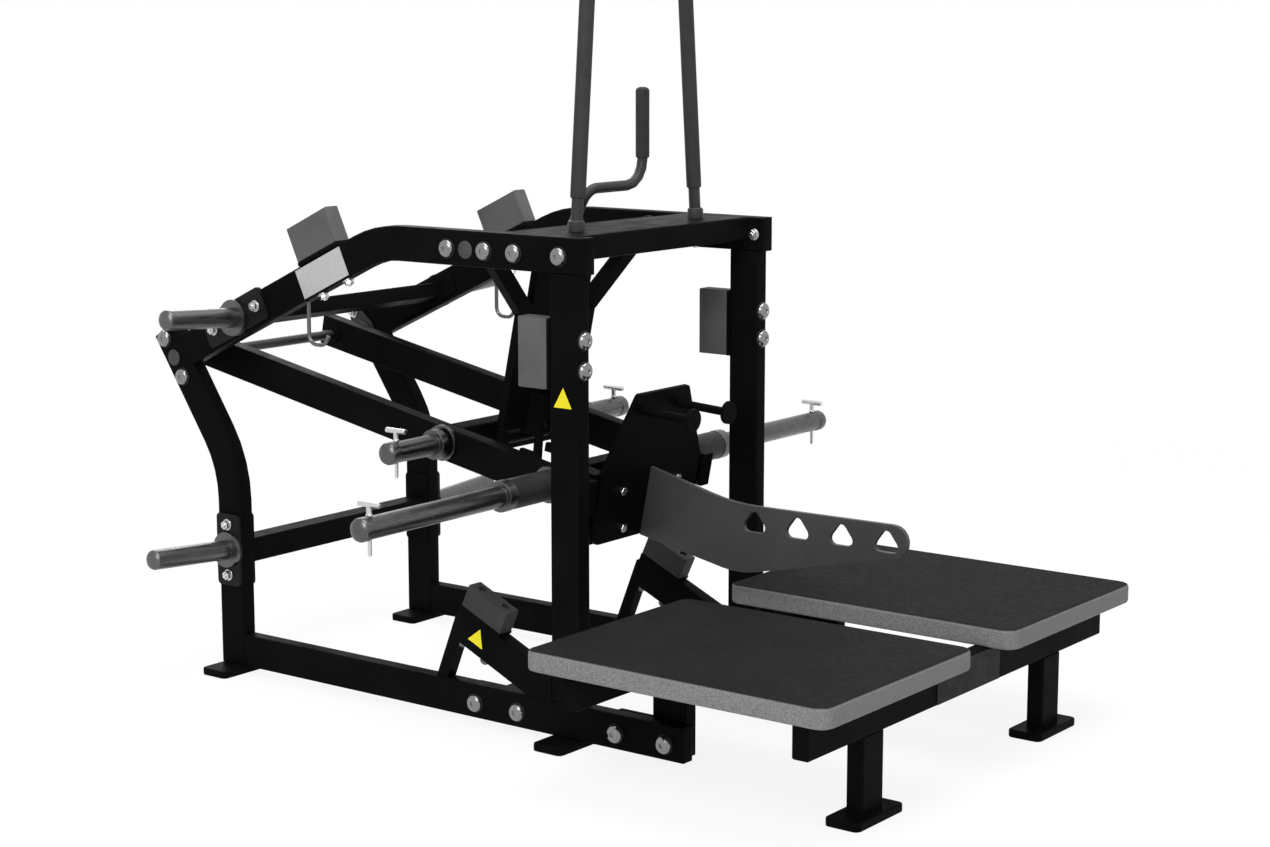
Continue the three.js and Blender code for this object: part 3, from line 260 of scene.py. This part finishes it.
hook_steel = metal("hook_steel", (0.1, 0.1, 0.102), (0.17, 0.17, 0.173), 0.38, (6, 6, 0.8), 0.1)
washer = rubber("washer_black", (0.008, 0.008, 0.0085), (0.016, 0.016, 0.017), 0.5, 700)
block = rubber("block_rubber", (0.082, 0.082, 0.083), (0.108, 0.108, 0.109), 0.7, 420, 0.1)
pad = rubber("pad_rubber", (0.024, 0.024, 0.0245), (0.036, 0.036, 0.037), 0.65)
sleeve = rubber("sleeve_dark", (0.014, 0.014, 0.0145), (0.024, 0.024, 0.025), 0.5)
plug = rubber("plug_grey", (0.042, 0.042, 0.043), (0.058, 0.058, 0.059), 0.6)
yellow = paint("yellow_film", (0.74, 0.64, 0.02), (0.82, 0.72, 0.03), 0.45)
silver = metal("plate_silver", (0.42, 0.42, 0.43), (0.62, 0.62, 0.63), 0.34, (1, 10, 2), 0.08)
badge = rubber("badge_grey", (0.012, 0.012, 0.0125), (0.018, 0.018, 0.0185), 0.6, 600, 0.1)

by_name = {
    "platform": board(), "stop_pad": pad, "upright_block": block, "beam_block": block,
    "storage_horn": horn_plate(), "belt_hook": hook_steel, "hand_grip": grip(), "bearing": cast,
    "lever_shaft": shaft, "main_horn": gunmetal, "mid_horn": gunmetal, "landing_sleeve": sleeve,
    "main_pin": zinc, "mid_pin": zinc, "nose_plate": plate_paint,
}
tube_grey = paint("tube_grey", (0.024, 0.024, 0.0245), (0.033, 0.033, 0.0335), 0.45, 900, 0.25)
exact = {
    "front_platform_frame": black,
    "left_rear_platform_support": black, "right_rear_platform_support": black,
    "left_hand_support": tube_grey, "right_hand_support": tube_grey, "lockout_handle": tube_grey,
    "lockout_grip": by_name["hand_grip"],
}


def soften(obj, width=0.0009):
    """Small rounded edges and smooth round faces, by modifiers only."""
    for layer in [a for a in obj.data.attributes if a.name == "custom_normal"]:
        obj.data.attributes.remove(layer)
    for face in obj.data.polygons:
        face.use_smooth = True
    weld = obj.modifiers.new("weld", "WELD")
    weld.merge_threshold = 0.00002
    bevel = obj.modifiers.new("bevel", "BEVEL")
    bevel.width = width
    bevel.segments = 2
    bevel.limit_method = "ANGLE"
    bevel.angle_limit = math.radians(50)
    bevel.use_clamp_overlap = True
    weight = obj.modifiers.new("weight", "WEIGHTED_NORMAL")
    weight.keep_sharp = True


for name, obj in nodes.items():
    found = exact.get(name) or next((m for key, m in by_name.items() if key in name), black)
    obj.data.materials.clear()
    obj.data.materials.append(found)
    soften(obj)


# Pieces that only the picture model has
def lathe(name, profile, material, at, axis, body, segments=32):
    """Turned piece about axis at a point; profile in millimetres of radius and height above the face."""
    mesh = bpy.data.meshes.new(name)
    bm = bmesh.new()
    rings = []
    for radius, height in profile:
        if radius == 0:
            rings.append([bm.verts.new((0, 0, height / 1000))])
            continue
        ring = []
        for i in range(segments):
            a = 2 * math.pi * i / segments
            ring.append(bm.verts.new((radius * math.cos(a) / 1000, radius * math.sin(a) / 1000, height / 1000)))
        rings.append(ring)
    for low, high in zip(rings, rings[1:]):
        for i in range(segments):
            j = (i + 1) % segments
            corners = [low[i % len(low)], low[j % len(low)], high[j % len(high)], high[i % len(high)]]
            unique = list(dict.fromkeys(corners))
            if len(unique) > 2:
                bm.faces.new(unique)
    bmesh.ops.recalc_face_normals(bm, faces=bm.faces)
    bm.to_mesh(mesh)
    bm.free()
    for face in mesh.polygons:
        face.use_smooth = True
    mesh.set_sharp_from_angle(angle=math.radians(40))
    mesh.materials.append(material)
    obj = bpy.data.objects.new(name, mesh)
    bpy.context.scene.collection.objects.link(obj)
    turn = Vector((0, 0, 1)).rotation_difference(Vector(axis).normalized())
    obj.matrix_world = Matrix.Translation(at) @ turn.to_matrix().to_4x4()
    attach(obj, body)
    return obj


def prism(name, sides, low, high, radius, material, at, axis, body):
    """Nut: a short prism with chamfered ends."""
    c = radius * 0.94
    profile = [(0, low), (c, low), (radius, low + 1), (radius, high - 1), (c, high), (0, high)]
    obj = lathe(name, profile, material, at, axis, body, sides)
    for face in obj.data.polygons:
        face.use_smooth = False
    return obj


def dome_bolt(name, at, axis, body="frame"):
    """Dome-head bolt on a dark washer, with a small driven recess."""
    ring = [(0, 0), (21.6, 0), (22.4, 0.8), (22.4, 2.4), (21.6, 3.2), (15, 3.6), (0, 3.6)]
    lathe(f"{name}_washer", ring, washer, at, axis, body)
    dome = [(0, 3.0), (20, 3.0), (20.4, 3.6), (20.2, 5.2)]
    for i in range(1, 8):
        a = math.pi / 2 * i / 8
        dome.append((5.2 + 14.6 * math.cos(a), 5.4 + 8.8 * math.sin(a)))
    dome += [(5.2, 14.2), (4.6, 13.4), (3.9, 11.4), (0, 11.4)]
    lathe(f"{name}_head", dome, dome_steel, at, axis, body)


def nut(name, at, axis, body="frame", steel=zinc):
    """Hexagon nut on a ring washer, with the end of its bolt."""
    lathe(f"{name}_ring", [(0, 0), (13.5, 0), (14, 0.5), (14, 2), (13.5, 2.5), (0, 2.5)], steel, at, axis, body)
    prism(f"{name}_hex", 6, 2.5, 12, 11.5, steel, at, axis, body)
    lathe(f"{name}_end", [(0, 12), (5.4, 12), (5.4, 15), (4.6, 16), (0, 16)], steel, at, axis, body, 20)


BEAM_BOLTS = {"post": (842.3, 1091), "tie": (968.2, 1091), "lockout_front": (1053, 1091), "lockout_rear": (1161, 1091)}
RAIL_BOLTS = {"support_front": (557.2, 55), "support_rear": (690.1, 55), "tie_front": (968.3, 55), "tie_rear": (1092.9, 55)}
LEAN = math.radians(34)
PIVOT = (2062, 770)
UPRIGHT_BOLTS = {
    "lever_upper": (PIVOT[0] + 54 * math.sin(LEAN), PIVOT[1] + 54 * math.cos(LEAN)),
    "lever_lower": (PIVOT[0] - 54 * math.sin(LEAN), PIVOT[1] - 54 * math.cos(LEAN)),
}
SLOPE = math.radians(25)
HORN_ALONG = 507
upper_horn = (
    1376 + HORN_ALONG * math.cos(SLOPE) + 7 * math.sin(SLOPE),
    1093.5 - HORN_ALONG * math.sin(SLOPE) + 7 * math.cos(SLOPE),
)
HORN_BOLTS = {
    "upper_front": (upper_horn[0] - 80 * math.cos(SLOPE), upper_horn[1] + 80 * math.sin(SLOPE)),
    "upper_rear": (upper_horn[0] + 80 * math.cos(SLOPE), upper_horn[1] - 80 * math.sin(SLOPE)),
    "lower_top": (1882, 309 + 63),
    "lower_bottom": (1882, 309 - 63),
}
for label, side in (("left", -1), ("right", 1)):
    out = (side, 0, 0)
    inward = (-side, 0, 0)
    for group, face in ((BEAM_BOLTS, 362.7), (RAIL_BOLTS, 362.7), (UPRIGHT_BOLTS, 362.7)):
        for key, (depth, height) in group.items():
            dome_bolt(f"{label}_bolt_{key}", place(side * face, depth, height), out)
    for key, (depth, height) in HORN_BOLTS.items():
        nut(f"{label}_nut_{key}", place(side * 370.7, depth, height), out)
    for key, (depth, height) in RAIL_BOLTS.items():
        nut(f"{label}_inner_nut_{key}", place(side * 314.7, depth, height), inward)
    for key, (depth, height) in UPRIGHT_BOLTS.items():
        nut(f"{label}_inner_nut_{key}", place(side * 310.7, depth, height), inward)
    for key, (depth, height) in list(BEAM_BOLTS.items())[2:]:
        nut(f"{label}_inner_nut_{key}", place(side * 310.7, depth, height), inward)
    cap = [(0, 0), (19, 0), (20, 1), (20, 2.4), (18.6, 3.4), (0, 4.6)]
    for key, spot in (("lever", PIVOT), ("lockout", (1107, 1091))):
        lathe(f"{label}_plug_{key}", cap, plug, place(side * 362.7, *spot), out, "frame")
    for key, height in (("upper", 910), ("lower", 844)):
        dome_bolt(f"{label}_block_bolt_{key}", place(side * 342.7, 790, height), (0, -1, 0))
    for key, along in (("front", -45), ("rear", 45)):
        spot = 184 + along
        depth = 1376 + spot * math.cos(SLOPE) - 40 * math.sin(SLOPE)
        height = 1093.5 - spot * math.sin(SLOPE) - 40 * math.cos(SLOPE)
        nut(f"{label}_beam_nut_{key}", place(side * 342.7, depth, height), (0, -math.sin(SLOPE), -math.cos(SLOPE)))
    stop = math.radians(24.5)
    for key, along in (("front", -37), ("rear", 37)):
        up = 40 + 6 + 0.3 + 56 - 12
        depth = 1000 + (103 + along) * math.cos(stop) - up * math.sin(stop)
        height = 168 + (103 + along) * math.sin(stop) + up * math.cos(stop)
        prism(f"{label}_stop_bolt_{key}", 6, 0, 6.5, 7.6, hook_steel, place(side * 342.7, depth, height),
              (0, -math.sin(stop), math.cos(stop)), "frame")
        depth = 1000 + (103 + along) * math.cos(stop) + 40 * math.sin(stop)
        height = 168 + (103 + along) * math.sin(stop) - 40 * math.cos(stop)
        nut(f"{label}_stop_nut_{key}", place(side * 342.7, depth, height), (0, math.sin(stop), -math.cos(stop)),
            "frame", hook_steel)
    nut(f"{label}_support_nut", place(side * 226, 902, 1079.5), (0, 0, -1))
    nut(f"{label}_inner_nut_post", place(side * 322.7, 800, 1093), inward)

TILT = math.radians(11.06)
FORWARD = Vector((0, -math.cos(TILT), -math.sin(TILT)))
UP = Vector((0, -math.sin(TILT), math.cos(TILT)))
pivot = place(0, *PIVOT)
for label, side in (("left", -1), ("right", 1)):
    for key, up, across in (("upper", -1.7, 0.105), ("lower", -95, 0.083)):
        at = pivot + FORWARD * 1.2165 + UP * (up / 1000) + Vector((side * across, 0, 0))
        prism(f"{label}_face_bolt_{key}", 6, 0, 9, 10.5, zinc, at, FORWARD, "lever")


# Bare plates and films, each a thin sheet on its face
def film(name, corners, lift, material, body):
    normal = (corners[1] - corners[0]).cross(corners[2] - corners[0]).normalized()
    mesh = bpy.data.meshes.new(name)
    bm = bmesh.new()
    low = [bm.verts.new(c + normal * 0.0001) for c in corners]
    high = [bm.verts.new(c + normal * lift) for c in corners]
    bm.faces.new(high)
    bm.faces.new(list(reversed(low)))
    count = len(corners)
    for i in range(count):
        j = (i + 1) % count
        bm.faces.new((low[i], low[j], high[j], high[i]))
    bm.to_mesh(mesh)
    bm.free()
    mesh.materials.append(material)
    obj = bpy.data.objects.new(name, mesh)
    bpy.context.scene.collection.objects.link(obj)
    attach(obj, body)
    return obj


def on_side(x, points):
    return [place(x, depth, height) for depth, height in points]


film("name_plate", on_side(-362.7, [(1636.5, 1010), (1606.5, 946), (1463, 1013), (1493, 1077)]), 0.0012, silver, "frame")
film("badge_plate", [place(-134, 21, 182.5), place(134, 21, 182.5), place(134, 21, 257.5), place(-134, 21, 257.5)],
     0.002, badge, "frame")
film("upright_triangle", on_side(-362.7, [(832, 806), (858, 761.5), (809, 761.5)]), 0.0004, yellow, "frame")
film("stop_triangle", on_side(-362.7, [(1075.9, 229.7), (1113, 202.8), (1071.3, 183.7)]), 0.0004, yellow, "frame")

# Floor, light and camera
mesh = bpy.data.meshes.new("floor")
bm = bmesh.new()
bmesh.ops.create_circle(bm, cap_ends=True, segments=96, radius=6)
bm.to_mesh(mesh)
bm.free()
floor = bpy.data.objects.new("floor", mesh)
floor.location.z = -0.0002
mesh.materials.append(stone())
bpy.context.scene.collection.objects.link(floor)


def area(name, at, target, size, power, shade=(1, 1, 1)):
    light = bpy.data.lights.new(name, "AREA")
    light.shape = "RECTANGLE"
    light.size, light.size_y = size
    light.energy = power
    light.color = shade
    obj = bpy.data.objects.new(name, light)
    obj.location = at
    obj.rotation_euler = (Vector(target) - Vector(at)).to_track_quat("-Z", "Y").to_euler()
    bpy.context.scene.collection.objects.link(obj)


area("key", (-4.0, -1.5, 3.6), (0, 0, 0.5), (2.4, 2.4), 150)
area("top", (0.4, -0.6, 4.6), (0, 0, 0.3), (3.2, 3.2), 150)
area("front", (-1.5, -5.2, 2.2), (0, 0, 0.5), (2.2, 1.6), 10)
area("back", (2.5, 4.2, 3.2), (0, 0, 0.6), (2.4, 1.6), 70)

world = bpy.data.worlds.new("studio")
bpy.context.scene.world = world
world.use_nodes = True
tree = world.node_tree
tree.nodes.clear()
result = tree.nodes.new("ShaderNodeOutputWorld")
seen = tree.nodes.new("ShaderNodeBackground")
seen.inputs["Color"].default_value = (1, 1, 1, 1)
seen.inputs["Strength"].default_value = 1.0
fill = tree.nodes.new("ShaderNodeBackground")
fill.inputs["Color"].default_value = (0.96, 0.97, 1, 1)
fill.inputs["Strength"].default_value = 0.5
mix = tree.nodes.new("ShaderNodeMixShader")
tree.links.new(seen_rays(tree), mix.inputs["Fac"])
tree.links.new(fill.outputs["Background"], mix.inputs[1])
tree.links.new(seen.outputs["Background"], mix.inputs[2])
tree.links.new(mix.outputs["Shader"], result.inputs["Surface"])

scene = bpy.context.scene
scene.view_settings.view_transform = "Standard"
lens = bpy.data.cameras.new("camera")
lens.lens = 68.85
lens.sensor_width = 36
camera = bpy.data.objects.new("camera", lens)
scene.collection.objects.link(camera)
scene.camera = camera
turn, drop = math.radians(36.964), math.radians(9.501)
look = Vector((math.cos(turn) * math.cos(drop), math.sin(turn) * math.cos(drop), -math.sin(drop)))
camera.rotation_mode = "QUATERNION"
camera.location = (-4.4315, -3.4708, 1.600)
camera.rotation_quaternion = look.to_track_quat("-Z", "Y")
lens.clip_start, lens.clip_end = 0.05, 100
